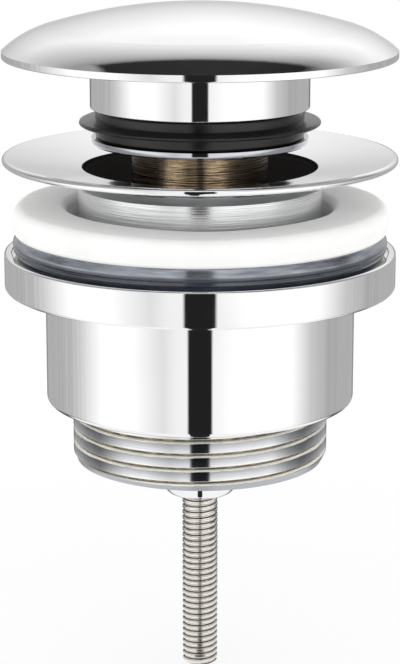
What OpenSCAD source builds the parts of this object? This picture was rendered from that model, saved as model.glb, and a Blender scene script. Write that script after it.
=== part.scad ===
// Pop up basin waste with a push-to-latch plug and a screw clamp for the basin.
// Millimetres, +Z up. The origin is on the axis, level with the lower edge of the flange rim.

/* [Plug] */
// Diameter of the domed cap
cap_d = 63.4; // [54:0.1:76]
// Height of the dome above the edge of the cap
cap_rise = 7.35; // [6.5:0.05:12]
// Radius of the dome's shoulder, between its flat crown and its edge
cap_shoulder = 17; // [12:0.5:18]
// Slope of the dome at its edge, in degrees
cap_edge_angle = 42; // [35:1:45]
// Height of the upright edge of the cap
cap_edge_h = 1.15; // [0.8:0.05:2]
// Width of the cap's solid rim
cap_rim = 3.2; // [2.4:0.1:4]
// Thickness of the cap's shell
cap_wall = 2.2; // [1.6:0.1:3]
// Height of the cap's seat above its lower edge
cap_drop = 1.4; // [0.8:0.1:2]
// Diameter of the cap's boss that takes the stem
cap_boss_d = 16; // [13:0.1:20]
// Height of the open plug's lower edge above the flange rim
plug_lift = 3; // [2.5:0.1:6]
// Height of the lip that holds the seal from below
seal_ledge_h = 1.1; // [0.8:0.1:2]
// Height of the seal's groove
seal_h = 4.7; // [3.5:0.1:6]
// Depth of the seal's groove
seal_groove = 3.2; // [2.5:0.1:3.6]
// Height of the skirt between seal and cap
skirt_h = 9.5; // [8:0.1:14]
// Wall between the seal's groove and the hollow of the plug
skirt_wall = 1.9; // [1.2:0.1:2.4]
// Thickness of the web across the skirt
web_t = 2.5; // [2:0.1:4]
// Thickness of the seal's lip at its edge
lip_t = 0.7; // [0.5:0.1:1.2]
// How far the seal's lip reaches past the bore
seal_lap = 1.15; // [0.8:0.05:1.6]

/* [Basin flange] */
// Diameter of the flange
flange_d = 63.8; // [56:0.1:76]
// Thickness of the flange
flange_t = 1.15; // [0.9:0.05:1.8]
// Angle at which the flange is dished
dish_angle = 9; // [5:0.5:12]
// Outer diameter of the neck
neck_d = 39.5; // [38:0.1:42]
// Wall of the neck
neck_wall = 1.45; // [1.1:0.05:2]
// Length of the neck below the flange rim
neck_len = 29.5; // [26:0.1:30.5]
// Radius of the bell mouth
bell_r = 0.9; // [0.8:0.1:2.5]
// Height of the cone between flange and neck
neck_cone_h = 2.3; // [1:0.1:4]

/* [Cartridge] */
// Diameter of the sleeve where it shows above its shoulder
sleeve_d = 22; // [20:0.1:22.6]
// Wall of the sleeve
sleeve_wall = 1.5; // [1.2:0.1:1.8]
// Depth of the sleeve's seat in the hub
socket_depth = 5.5; // [4:0.1:8]
// Wall of the hub around the sleeve
hub_wall = 1.6; // [1.4:0.1:2]
// Diameter of the plunger stem
stem_d = 8; // [7:0.1:9]
// Diameter of the stem inside the block
stem_tail_d = 6; // [5:0.1:6.4]
// Thickness of the guide bush
bush_h = 3.2; // [2.8:0.1:4]
// Height of the bush's skirt, which carries the latch
bush_skirt_h = 3; // [2.4:0.1:4]
// Diameter of the block with the latch track
block_d = 14.4; // [14:0.1:15]
// Distance of the block's flat from the axis
flat_y = 5.4; // [5.2:0.1:5.6]
// Depth of the latch track
track_depth = 1.4; // [1:0.1:1.6]
// Length of the latch from its pivot to its tip
hook_len = 8.2; // [7.8:0.1:9]
// Swing of the latch over the plug's stroke, in degrees
hook_swing = 20; // [17:0.5:21]
// Diameter of the latch wire
hook_wire = 1.1; // [0.9:0.05:1.2]
// Length of the return spring, plug up
spring_len = 12.9; // [12:0.1:15]
// Mean diameter of the return spring
spring_d = 12; // [11.6:0.1:12.6]
// Diameter of the spring wire
spring_wire = 1.1; // [0.9:0.05:1.2]
// Turns of the return spring
spring_turns = 4; // [3:0.5:4]

/* [Clamp] */
// Gap between flange rim and gasket, where the basin is clamped
clamp_gap = 6.7; // [2:0.1:12]
// How far the foam gasket's edge lies inside the collar's
foam_inset = 1.1; // [0.6:0.1:3]
// Thickness of the foam gasket
foam_t = 4.7; // [3:0.1:6]
// Thickness of the clear gasket
clear_t = 3.65; // [2.6:0.05:5]
// Depth of the collar's recess for the clear gasket
recess_depth = 0.6; // [0.4:0.1:1.2]
// Diameter of the collar
collar_d = 63.6; // [58:0.1:70]
// Height of the collar
collar_h = 5.95; // [4:0.05:8]
// Diameter of the barrel
barrel_d = 50.4; // [48:0.1:56]
// Length of the barrel below the collar
barrel_len = 18.9; // [18:0.1:24]
// Wall of the barrel
barrel_wall = 2.75; // [2:0.05:3.4]
// Thickness of the barrel's floor
floor_t = 2.5; // [2:0.1:4]
// Diameter of the outlet thread, over its crests
thread_d = 41.91; // [40:0.01:44]
// Length of the outlet spigot
spigot_len = 10; // [9:0.1:16]
// Wall of the outlet spigot
spigot_wall = 2.65; // [2:0.05:3.5]
// Diameter of the hub that takes the tie screw
nut_hub_d = 12.3; // [10:0.1:16]
// Height of that hub
nut_hub_h = 13.5; // [9:0.1:14]
// How far the hub stands out below the spigot
nut_hub_drop = 6.6; // [3:0.1:9]
// Diameter of the tie screw
screw_d = 6; // [5:0.1:6.4]
// Length of the tie screw under its head
screw_len = 55.1; // [50:0.1:70]
// Diameter of the tie screw's head
screw_head_d = 10; // [9:0.1:11]
// Height of the tie screw's head
screw_head_h = 4; // [3:0.1:5]

/* [Hidden] */
$fn = 96;
eps = 0.01;

// Clearances
bore_play = 0.1;       // a piece that sits in or on another of its own body
running_play = 0.08;   // the stem in its bush
thread_play = 0.15;    // the tie screw in the hub that it turns in
loose_play = 0.3;      // the latch in its track, and the block in the bush's skirt
stop_gap = 0.15;       // the open plug below its stop
face_gap = 0.05;       // the tie screw's head over its washer
seal_gap = 0.3;        // the closed seal over the dish
skirt_gap = 0.85;      // the plug's lower edge in the bore
skirt_step = 0.2;      // skirt over the lower ledge, on the radius
neck_gap = 1.75;       // gaskets round the neck
nut_gap = 0.7;         // lock nut over the sleeve, plug down

// Small thicknesses and edges
edge = 0.5;
cap_washer_t = 0.8;
cap_seat_wall = 3.7;
cap_round = 0.25;
nut_h = 4;
nut_across = 13;
stem_grip = 3.6;
clip_t = 0.7;
clip_bite = 0.6;
clip_width = 2;
clip_opening = 50;
clip_inset = 0.45;
tail_end = 1.8;
spring_washer_t = 0.6;
sleeve_floor_t = 1;
sleeve_step = 0.5;
sleeve_show = 9;
screw_washer_t = 0.8;
screw_washer_rim = 2.3;
hub_floor_t = 3;
arm_t = 2.6;
arm_h = 5.5;
arm_angles = [90, 210, 330];
collar_top_r = 1;
collar_low_r = 0.5;
collar_land = 1.3;
barrel_low_r = 0.8;
spigot_lead = 0.7;
nut_hub_r = 2;
foam_top_r = 1.6;
foam_low_r = 0.8;
foam_inner_r = 1.2;
gasket_rib = 0.45;
seal_fill = 0.8;
o_ring_t = 1.4;
hook_bend = 1;
track_margin = 1.8;
notch_drop = 1;

// Flange and bore
flange_r = flange_d / 2;
neck_r = neck_d / 2;
bore_r = neck_r - neck_wall;
dish_slope = tan(dish_angle);
dish_normal = [-sin(dish_angle), cos(dish_angle)];
rim_centre = [flange_r - flange_t / 2, flange_t / 2];
function dish_mid(r) = rim_centre[1] - (rim_centre[0] - r) * dish_slope;
function dish_top(r) = dish_mid(r) + flange_t / 2 / cos(dish_angle);
function dish_low(r) = dish_mid(r) - flange_t / 2 / cos(dish_angle);
bell_centre = [bore_r + bell_r, dish_top(bore_r + bell_r) - bell_r / cos(dish_angle)];
cone_r = neck_r + neck_cone_h;

// Plug, from its lower edge upwards
ledge_r = bore_r - skirt_gap;
skirt_r = ledge_r + skirt_step;
groove_r = ledge_r - seal_groove;
hollow_r = groove_r - skirt_wall;
seal_r = bore_r + seal_lap;
seal_z0 = plug_lift + seal_ledge_h;
seal_z1 = seal_z0 + seal_h;
lip_z0 = (seal_z0 + seal_z1 - lip_t) / 2;
seat_z = seal_z1 + skirt_h;
web_top = seat_z - cap_washer_t;
web_low = web_top - web_t;
nut_low = web_low - nut_h;
plug_travel = lip_z0 - dish_top(seal_r) - seal_gap;

// Domed cap: a flat crown that runs into a rounder shoulder, and an upright edge
cap_r = cap_d / 2;
cap_low = seat_z - cap_drop;
cap_top = cap_low + cap_edge_h + cap_rise;
cap_seat_r = skirt_r + edge;
edge_normal = [sin(cap_edge_angle), cos(cap_edge_angle)];
shoulder_centre = [cap_r, cap_low + cap_edge_h] - cap_shoulder * edge_normal;
shoulder_drop = cap_top - shoulder_centre[1];
shoulder_reach = pow(shoulder_centre[0], 2) + pow(shoulder_drop, 2) - pow(cap_shoulder, 2);
crown_r = shoulder_reach / (2 * (shoulder_drop - cap_shoulder));
crown_z = cap_top - crown_r;

// Stem
stem_r = stem_d / 2;
tail_r = stem_tail_d / 2;
stem_top = seat_z + stem_grip;

// Cartridge, from its top downwards
sleeve_top = nut_low - plug_travel - nut_gap;
sleeve_r = sleeve_d / 2;
sleeve_in = sleeve_r - sleeve_wall;
shoulder_z = sleeve_top - sleeve_show;
clip_z0 = sleeve_top - clip_inset - clip_t;
bush_low = clip_z0 - bush_h;
pivot_z = bush_low - bush_skirt_h / 2;
hook_r = hook_wire / 2;
tip_z = pivot_z - hook_len;
block_r = block_d / 2;
block_top = bush_low - stop_gap;
block_low = tip_z - track_margin;
bush_skirt_in = block_r + loose_play;
bush_r = sleeve_in - bore_play / 2;
arm_y = flat_y + edge + hook_r;
tip_y = flat_y - track_depth + bore_play * 2;
spring_top = block_low - spring_washer_t;
spring_low = spring_top - spring_len;
stem_clip_z = spring_top - 2 * face_gap - clip_t;
tail_low = stem_clip_z - tail_end;
sleeve_low = spring_low - sleeve_floor_t;
head_top = sleeve_low - loose_play;
head_low = head_top - screw_head_h;
screw_washer_z = head_low - face_gap - screw_washer_t;
hub_low = screw_washer_z - hub_floor_t;
hub_top = sleeve_low + socket_depth;
hub_r = sleeve_r + bore_play + hub_wall;
o_ring_mid = stem_r + bore_play + o_ring_t / 2;

// Clamp, from the gasket downwards
foam_top = -clamp_gap;
foam_low = foam_top - foam_t;
collar_top = foam_low - clear_t + recess_depth;
collar_low = collar_top - collar_h;
barrel_low = collar_low - barrel_len;
spigot_low = barrel_low - spigot_len;
nut_hub_low = spigot_low - nut_hub_drop;
nut_hub_top = nut_hub_low + nut_hub_h;
collar_r = collar_d / 2;
recess_r = collar_r - collar_land;
foam_r = collar_r - foam_inset;
barrel_r = barrel_d / 2;
barrel_in = barrel_r - barrel_wall;
thread_r = thread_d / 2;
spigot_in = thread_r - spigot_wall;
gasket_in = neck_r + neck_gap;
screw_r = screw_d / 2;

chrome = [0.86, 0.87, 0.88];
brass = [0.78, 0.62, 0.38];
steel = [0.74, 0.71, 0.67];
rubber = [0.12, 0.12, 0.13];
polymer = [0.92, 0.91, 0.88];
foam = [0.96, 0.96, 0.95];
clear_blue = [0.52, 0.60, 0.68];

// Rectangle of a revolved section, with its outer corners and its inner top corner rounded
module ring_section(r0, r1, z0, z1, top = 0, low = 0, inner = 0) {
    difference() {
        translate([r0, z0])
            square([r1 - r0, z1 - z0]);
        if (top > 0)
            translate([r1 - top, z1 - top])
                corner(top);
        if (low > 0)
            translate([r1 - low, z0 + low])
                mirror([0, 1])
                    corner(low);
        if (inner > 0)
            translate([r0 + inner, z1 - inner])
                mirror([1, 0])
                    corner(inner);
    }
}

// What a round takes off a square corner
module corner(r) {
    difference() {
        square(r + eps);
        circle(r);
    }
}

// Washer or plain ring about the axis
module ring(r0, r1, z0, z1) {
    rotate_extrude()
        ring_section(r0, r1, z0, z1);
}

// Ring clip with an opening at the back
module ring_clip(r0, r1, z0) {
    rotate([0, 0, 90 + clip_opening / 2])
        rotate_extrude(angle = 360 - clip_opening)
            ring_section(r0, r1, z0, z0 + clip_t);
}

// Three arms between a hub and the wall around it
module spider(r0, r1, z0) {
    for (angle = arm_angles)
        rotate([90, 0, angle])
            linear_extrude(arm_t, center = true)
                polygon([[r0, z0 + edge], [r1, z0], [r1, z0 + arm_h], [r0, z0 + arm_h]]);
}

// Slot between two points, with round ends
module slot(p, q, r) {
    run = q - p;
    translate(p) {
        circle(r);
        rotate(atan2(run[1], run[0]))
            translate([0, -r])
                square([norm(run), 2 * r]);
    }
    translate(q)
        circle(r);
}

// What the shoulder takes off the crown
module shoulder_cut() {
    outward = (shoulder_centre - [0, crown_z]) / (crown_r - cap_shoulder);
    reach = 1.5 * cap_shoulder;
    difference() {
        polygon([
            shoulder_centre, shoulder_centre + reach * outward, shoulder_centre + reach * edge_normal
        ]);
        translate(shoulder_centre)
            circle(cap_shoulder);
    }
}

// Half of the cap: the shell, the boss for the stem and the seat for the skirt
module cap_section() {
    difference() {
        intersection() {
            translate([0, crown_z])
                circle(crown_r);
            ring_section(0, cap_r, cap_low, cap_top, 0, cap_round);
        }
        shoulder_cut();
        difference() {
            intersection() {
                translate([0, crown_z])
                    circle(crown_r - cap_wall);
                ring_section(0, cap_r - cap_rim, cap_low - edge, cap_top);
            }
            ring_section(0, cap_boss_d / 2, seat_z, cap_top);
            ring_section(cap_seat_r - cap_seat_wall, cap_seat_r, seat_z, cap_top);
        }
        ring_section(0, stem_r + bore_play, seat_z - edge, stem_top + edge);
    }
}

module dome_cap() {
    color(chrome)
        rotate_extrude()
            cap_section();
}

module cap_washer() {
    color(polymer)
        ring(stem_r + bore_play, cap_boss_d / 2, web_top, seat_z);
}

module plug_skirt() {
    color(chrome)
        rotate_extrude() {
            ring_section(hollow_r, skirt_r, seal_z1, seat_z, 0, edge / 2);
            ring_section(hollow_r, groove_r, plug_lift, seal_z1 + eps);
            ring_section(hollow_r, ledge_r, plug_lift, seal_z0, 0, edge);
            ring_section(stem_r + bore_play, hollow_r + eps, web_low, web_top);
        }
}

module lip_seal() {
    body_r = groove_r + seal_fill * seal_groove;
    inner_r = groove_r + bore_play;
    root_t = 2 * lip_t;
    color(rubber)
        rotate_extrude() {
            ring_section(inner_r, body_r, seal_z0 + eps, seal_z1 - eps, edge, edge);
            polygon([
                [inner_r, lip_z0 - lip_t / 2], [body_r, lip_z0 - lip_t / 2],
                [seal_r - lip_t / 2, lip_z0], [seal_r - lip_t / 2, lip_z0 + lip_t],
                [body_r, lip_z0 - lip_t / 2 + root_t], [inner_r, lip_z0 - lip_t / 2 + root_t]
            ]);
            translate([seal_r - lip_t / 2, lip_z0 + lip_t / 2])
                circle(lip_t / 2);
        }
}

module lock_nut() {
    chamfer = 1;
    corner_r = nut_across / 2 / cos(30);
    color(brass)
        difference() {
            intersection() {
                translate([0, 0, nut_low])
                    cylinder(r = corner_r, h = nut_h, $fn = 6);
                rotate_extrude()
                    polygon([
                        [0, nut_low], [nut_across / 2, nut_low], [corner_r + edge, nut_low + chamfer],
                        [corner_r + edge, web_low - chamfer], [nut_across / 2, web_low], [0, web_low]
                    ]);
            }
            translate([0, 0, nut_low - edge])
                cylinder(r = stem_r + bore_play, h = nut_h + 2 * edge);
        }
}

module plunger_stem() {
    color(steel)
        rotate_extrude()
            polygon([
                [0, tail_low], [tail_r - edge, tail_low], [tail_r, tail_low + edge],
                [tail_r, stem_clip_z], [tail_r - clip_bite, stem_clip_z],
                [tail_r - clip_bite, spring_top - face_gap], [tail_r, spring_top - face_gap],
                [tail_r, block_top], [stem_r, block_top],
                [stem_r, stem_top - edge], [stem_r - edge, stem_top], [0, stem_top]
            ]);
}

// Heart-shaped track: the tip goes up one side, drops into the notch and comes down the other side
module latch_track() {
    side = hook_len * sin(hook_swing);
    start = [0, tip_z];
    press_end = [-side, pivot_z - hook_len * cos(hook_swing) + plug_travel];
    release_end = [side, press_end[1]];
    notch = [0, press_end[1] - notch_drop];
    slot_r = hook_r + loose_play;
    translate([0, flat_y + eps, 0])
        rotate([90, 0, 0])
            linear_extrude(track_depth + eps) {
                slot(start, press_end, slot_r);
                slot(press_end, notch, slot_r);
                slot(notch, release_end, slot_r);
                slot(release_end, start, slot_r);
            }
}

module cam_block() {
    color(brass)
        difference() {
            ring(tail_r + bore_play, block_r, block_low, block_top);
            translate([-block_r, flat_y, block_low - edge])
                cube([2 * block_r, block_r, block_top - block_low + 2 * edge]);
            latch_track();
        }
}

module spring_washer() {
    color(steel)
        ring(tail_r + bore_play, block_r, spring_top, block_low);
}

module stem_clip() {
    color(steel)
        ring_clip(tail_r - clip_bite + bore_play, tail_r + clip_width - clip_bite, stem_clip_z);
}

// Closed tube through rings of points, all with the same number of sides
module tube(rings) {
    sides = len(rings[0]);
    last = len(rings) - 1;
    walls = [
        for (i = [0 : last - 1], j = [0 : sides - 1])
            let (a = i * sides + j, b = i * sides + (j + 1) % sides)
            [a, b, b + sides, a + sides]
    ];
    first_end = [for (j = [sides - 1 : -1 : 0]) j];
    last_end = [for (j = [0 : sides - 1]) last * sides + j];
    polyhedron([for (ring = rings) each ring], concat([first_end], walls, [last_end]), convexity = 8);
}

// Coil with closed ends
module return_spring() {
    sides = 8;
    steps_per_turn = 24;
    dead_turns = 0.75;
    wire_r = spring_wire / 2;
    lift = spring_len - 2 * spring_wire;
    function rise(turn) =
        let (live = min(max(turn - dead_turns, 0), spring_turns))
        let (lean = min(turn, dead_turns) + max(turn - dead_turns - spring_turns, 0))
        wire_r + lean / (2 * dead_turns) * spring_wire + live / spring_turns * lift;
    function coil_ring(turn) = [
        for (j = [0 : sides - 1])
            let (tilt = 360 * j / sides)
            let (r = spring_d / 2 + wire_r * cos(tilt))
            [r * cos(360 * turn), r * sin(360 * turn), spring_low + rise(turn) + wire_r * sin(tilt)]
    ];
    steps = steps_per_turn * (spring_turns + 2 * dead_turns);
    color(steel)
        tube([for (i = [0 : steps]) coil_ring(i / steps_per_turn)]);
}

// Bent wire in the plane x = 0: the pivot in the bush, the arm along the flat and the tip in the track
module latch_hook() {
    sides = 12;
    bend_step = 15;
    upper_bend = [arm_y + hook_bend, pivot_z - hook_bend];
    lower_bend = [arm_y - hook_bend, tip_z + hook_bend];
    inward = [-1, 0];
    path = concat(
        [[[bush_r - edge, pivot_z], inward]],
        [for (a = [90 : bend_step : 180]) [upper_bend + hook_bend * [cos(a), sin(a)], [-sin(a), cos(a)]]],
        [for (a = [0 : -bend_step : -90]) [lower_bend + hook_bend * [cos(a), sin(a)], [sin(a), -cos(a)]]],
        [[[tip_y, tip_z], inward]]
    );
    function wire_ring(centre, along) = [
        for (j = [0 : sides - 1])
            let (side = hook_r * cos(360 * j / sides), across = hook_r * sin(360 * j / sides))
            [across, centre[0] - side * along[1], centre[1] + side * along[0]]
    ];
    color(steel)
        tube([for (p = path) wire_ring(p[0], p[1])]);
}

module guide_bush() {
    groove_half = o_ring_t / 2 + face_gap;
    groove_low = bush_low + bush_h / 2 - groove_half;
    color(polymer)
        difference() {
            rotate_extrude()
                difference() {
                    union() {
                        ring_section(stem_r + running_play, bush_r, bush_low, clip_z0, edge);
                        ring_section(bush_skirt_in, bush_r, bush_low - bush_skirt_h, bush_low + eps);
                    }
                    ring_section(0, o_ring_mid + groove_half, groove_low, groove_low + 2 * groove_half);
                }
            translate([0, 0, pivot_z])
                rotate([-90, 0, 0])
                    cylinder(r = hook_r + running_play, h = bush_r + edge);
        }
}

module stem_o_ring() {
    color(rubber)
        rotate_extrude()
            translate([o_ring_mid, bush_low + bush_h / 2])
                circle(o_ring_t / 2);
}

module bush_clip() {
    color(steel)
        ring_clip(sleeve_in - clip_width + clip_bite, sleeve_in + clip_bite - bore_play, clip_z0);
}

module cartridge_sleeve() {
    color(brass)
        rotate_extrude()
            difference() {
                union() {
                    ring_section(0, sleeve_r, sleeve_low, sleeve_top, edge);
                    ring_section(0, sleeve_r + sleeve_step, hub_top, shoulder_z, edge / 2);
                }
                ring_section(-eps, sleeve_in, spring_low, sleeve_top + eps);
                ring_section(0, sleeve_in + clip_bite, clip_z0 - eps, clip_z0 + clip_t + face_gap);
            }
}

// Dished flange, bell mouth and neck
module flange_section() {
    half = flange_t / 2;
    polygon([
        bell_centre, bell_centre + bell_r * dish_normal, rim_centre + half * dish_normal,
        rim_centre - half * dish_normal, [cone_r, dish_low(cone_r)],
        [neck_r, dish_low(cone_r) - neck_cone_h], [neck_r, -neck_len + edge], [neck_r - edge, -neck_len],
        [bore_r, -neck_len], [bore_r, bell_centre[1]]
    ]);
    translate(bell_centre)
        circle(bell_r);
    translate(rim_centre)
        circle(half);
}

// Cup that holds the cartridge above and the tie screw's head inside
module flange_hub_section() {
    pocket_r = screw_head_d / 2 + 2 * loose_play;
    difference() {
        ring_section(screw_r + thread_play, hub_r, hub_low, hub_top, edge, hub_floor_t);
        ring_section(0, pocket_r, screw_washer_z, hub_top + eps);
        ring_section(0, sleeve_r + bore_play, sleeve_low, hub_top + eps);
    }
}

module basin_flange() {
    color(chrome) {
        rotate_extrude() {
            flange_section();
            flange_hub_section();
        }
        spider(hub_r - hub_wall / 2, neck_r - neck_wall / 2, -neck_len);
    }
}

module screw_washer() {
    outer = screw_r + screw_washer_rim;
    color(steel)
        ring(screw_r + thread_play, outer, screw_washer_z, screw_washer_z + screw_washer_t);
}

module tie_screw() {
    socket_across = 5;
    socket_depth_h = 2.4;
    end_chamfer = 0.25;
    screw_low = head_low - screw_len;
    color(steel)
        difference() {
            rotate_extrude()
                polygon([
                    [0, screw_low], [screw_r - end_chamfer, screw_low], [screw_r, screw_low + end_chamfer],
                    [screw_r, head_low], [screw_head_d / 2, head_low],
                    [screw_head_d / 2, head_top - edge], [screw_head_d / 2 - edge, head_top], [0, head_top]
                ]);
            translate([0, 0, head_top - socket_depth_h])
                cylinder(r = socket_across / 2 / cos(30), h = socket_depth_h + edge, $fn = 6);
        }
}

module foam_gasket() {
    color(foam)
        rotate_extrude()
            ring_section(gasket_in, foam_r, foam_low, foam_top, foam_top_r, foam_low_r, foam_inner_r);
}

// Gasket with a blunt ridge round its edge
module clear_gasket() {
    outer = recess_r - bore_play;
    ridge_z = (collar_top + foam_low) / 2;
    color(clear_blue)
        rotate_extrude()
            polygon([
                [gasket_in, collar_top - recess_depth], [outer - gasket_rib, collar_top - recess_depth],
                [outer - gasket_rib, collar_top], [outer, ridge_z - gasket_rib / 2], [outer, ridge_z],
                [outer - gasket_rib, foam_low], [gasket_in, foam_low]
            ]);
}

module waste_body_section() {
    difference() {
        ring_section(barrel_in, collar_r, collar_low, collar_top, collar_top_r, collar_low_r);
        ring_section(0, recess_r, collar_top - recess_depth, collar_top + eps);
    }
    ring_section(barrel_in, barrel_r, barrel_low, collar_low + eps, 0, barrel_low_r);
    ring_section(spigot_in, barrel_in + eps, barrel_low, barrel_low + floor_t);
    polygon([
        [spigot_in, spigot_low], [thread_r - spigot_lead, spigot_low], [thread_r, spigot_low + spigot_lead],
        [thread_r, barrel_low + eps], [spigot_in, barrel_low + eps]
    ]);
    ring_section(screw_r + thread_play, nut_hub_d / 2, nut_hub_low, nut_hub_top, edge, nut_hub_r);
}

module waste_body() {
    color(chrome) {
        rotate_extrude()
            waste_body_section();
        spider(nut_hub_d / 2 - edge, thread_r - spigot_wall / 2, spigot_low + edge);
    }
}

dome_cap();
cap_washer();
plug_skirt();
lip_seal();
lock_nut();
plunger_stem();
cam_block();
spring_washer();
stem_clip();
return_spring();
latch_hook();
guide_bush();
stem_o_ring();
bush_clip();
cartridge_sleeve();
basin_flange();
screw_washer();
tie_screw();
foam_gasket();
clear_gasket();
waste_body();
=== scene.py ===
"""Looks of a pop up basin waste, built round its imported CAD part.

Polished chrome, turned brass, rubber, white foam and a clear gasket in a white studio. The threads, the
gaskets and the spring are meshes of their own. The other pieces are the part's solids with their finishes.
"""

import math

import bmesh
import bpy
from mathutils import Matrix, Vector


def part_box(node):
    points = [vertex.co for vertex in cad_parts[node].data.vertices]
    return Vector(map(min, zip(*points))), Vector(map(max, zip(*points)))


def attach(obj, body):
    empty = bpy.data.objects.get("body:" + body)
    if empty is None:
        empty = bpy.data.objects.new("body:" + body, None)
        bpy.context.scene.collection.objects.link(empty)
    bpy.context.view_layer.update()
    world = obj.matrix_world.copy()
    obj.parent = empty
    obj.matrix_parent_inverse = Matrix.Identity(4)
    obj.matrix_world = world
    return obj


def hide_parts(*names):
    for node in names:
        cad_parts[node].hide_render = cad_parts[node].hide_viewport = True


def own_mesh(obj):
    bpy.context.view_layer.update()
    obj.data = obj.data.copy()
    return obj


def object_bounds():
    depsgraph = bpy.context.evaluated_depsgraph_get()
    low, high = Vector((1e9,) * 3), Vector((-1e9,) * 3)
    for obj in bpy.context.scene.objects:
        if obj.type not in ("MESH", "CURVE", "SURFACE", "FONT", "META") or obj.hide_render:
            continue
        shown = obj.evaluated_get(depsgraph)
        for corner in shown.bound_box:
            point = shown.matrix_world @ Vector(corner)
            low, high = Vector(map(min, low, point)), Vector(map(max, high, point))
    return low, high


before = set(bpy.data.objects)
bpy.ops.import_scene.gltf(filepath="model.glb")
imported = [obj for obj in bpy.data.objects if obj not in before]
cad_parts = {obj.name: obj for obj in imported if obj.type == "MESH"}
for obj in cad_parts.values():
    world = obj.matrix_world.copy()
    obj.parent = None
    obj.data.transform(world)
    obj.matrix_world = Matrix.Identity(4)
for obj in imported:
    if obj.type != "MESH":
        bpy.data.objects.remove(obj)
cad_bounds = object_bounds()

MM = 0.001
SEGMENTS = 160
SHARP_ANGLE = math.radians(32)


def node_size(node):
    """Outer radius, lowest z and highest z of a CAD node, in millimetres."""
    low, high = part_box(node)
    return high[0] / MM, low[2] / MM, high[2] / MM


# Sizes in millimetres, from the frame where a node's box gives them
COLLAR_R, HUB_LOW, COLLAR_TOP = node_size("waste_body")
COLLAR_HEIGHT = 5.95
COLLAR_LOW = COLLAR_TOP - COLLAR_HEIGHT
COLLAR_LIP = 1.3
COLLAR_RECESS_R = COLLAR_R - COLLAR_LIP
RECESS_DEPTH = 0.6
BARREL_R = 25.2
BARREL_HEIGHT = 18.9
BARREL_LOW = COLLAR_LOW - BARREL_HEIGHT
BARREL_WALL = 2.75
BARREL_FLOOR = 2.5
SPIGOT_HEIGHT = 10
SPIGOT_LOW = BARREL_LOW - SPIGOT_HEIGHT
SPIGOT_IN = 18.305
HUB_R = 6.15
HUB_HEIGHT = 13.5
HUB_TOP = HUB_LOW + HUB_HEIGHT
ARM_ANGLES = (90, 210, 330)
ARM_HALF = 1.3
ARM_HEIGHT = 5.5
ARM_ROUND = 0.4
ARM_IN, ARM_OUT = HUB_R - 0.5, SPIGOT_IN + 1
ARM_LOW = SPIGOT_LOW + 0.5

# A thread's form gives the widths of its crest and root as shares of the pitch
THREAD_END_STEP = 0.15
PIPE_CREST = 20.955
PIPE_PITCH = 2.309
PIPE_DEPTH = 0.55
PIPE_LEAD = 1.3
PIPE_FORM = (0.64, 0.08)
# Radii from which flat faces run to the pipe thread, above it and at its end
ABOVE_THREAD_R = PIPE_CREST + 1.2
THREAD_END_R = SPIGOT_IN + 0.8

HEAD_R, SCREW_LOW, HEAD_TOP = node_size("tie_screw")
HEAD_HEIGHT = 4
SOCKET_ACROSS = 5
SOCKET_DEPTH = 2.4
SCREW_R = 2.95
SCREW_PLAY = 0.15
SCREW_PITCH = 1
SCREW_DEPTH = 0.42
SCREW_LEAD = 0.35
SCREW_FORM = (0.3, 0.06)
SCREW_SEGMENTS = 64
SHANK_LENGTH = 18
SHANK_LOW = HEAD_TOP - SHANK_LENGTH

FOAM_R, FOAM_LOW, FOAM_TOP = node_size("foam_gasket")
CLEAR_R, CLEAR_LOW, CLEAR_TOP = node_size("clear_gasket")
GASKET_IN = 21.5
# Waves of the foam's edge as (size, count round the ring, phase), and how far its top dips
FOAM_WAVES = ((0.14, 3, 0.6), (0.1, 7, 2.1), (0.05, 13, 4))
FOAM_WAVE_REACH = 0.29
FOAM_HOLE_SHARE = 0.4
FOAM_DIP = 0.12

SPRING_R, SPRING_LOW, SPRING_TOP = node_size("return_spring")
SPRING_WIRE = 0.55
SPRING_TURNS = 4
SPRING_DEAD_TURNS = 0.75
SPRING_SIDES = 16
SPRING_STEPS = 64

SLEEVE_R = 11
LEDGE_TOP = 4.3
NECK_R = 19.75
NECK_TOP = -2.0
BORE_EDGE = 19.15
DISH_FLATTER = 0.3


# Meshes

def add_object(name, data):
    """New object in the scene."""
    obj = bpy.data.objects.new(name, data)
    bpy.context.scene.collection.objects.link(obj)
    return obj


def piece(name, bm, body, nodes, material):
    """Object from a bmesh in millimetres, riding on a body in place of CAD nodes."""
    bmesh.ops.remove_doubles(bm, verts=bm.verts, dist=1e-5)
    bmesh.ops.recalc_face_normals(bm, faces=bm.faces)
    bmesh.ops.scale(bm, vec=(MM, MM, MM), verts=bm.verts)
    mesh = bpy.data.meshes.new(name)
    bm.to_mesh(mesh)
    bm.free()
    mesh.shade_smooth()
    mesh.set_sharp_from_angle(angle=SHARP_ANGLE)
    mesh.materials.append(material)
    obj = add_object(name, mesh)
    normals = obj.modifiers.new("weighted_normals", "WEIGHTED_NORMAL")
    normals.keep_sharp = True
    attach(obj, body)
    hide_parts(*nodes)
    return obj


def rounded(corners, closed=True, steps=5):
    """Outline through (r, z, round) corners in millimetres, with an arc at each corner that has a round."""
    points = []
    count = len(corners)
    for i, (r, z, round_r) in enumerate(corners):
        here = Vector((r, z))
        if round_r == 0 or (not closed and i in (0, count - 1)):
            points.append(here)
            continue
        before = (Vector(corners[i - 1][:2]) - here).normalized()
        after = (Vector(corners[(i + 1) % count][:2]) - here).normalized()
        half = before.angle(after) / 2
        centre = here + (before + after).normalized() * (round_r / math.sin(half))
        start = here + before * (round_r / math.tan(half)) - centre
        end = here + after * (round_r / math.tan(half)) - centre
        sweep = start.angle_signed(end)
        for step in range(steps + 1):
            turn = -sweep * step / steps
            points.append(centre + Vector((
                start.x * math.cos(turn) - start.y * math.sin(turn),
                start.x * math.sin(turn) + start.y * math.cos(turn),
            )))
    return points


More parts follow.
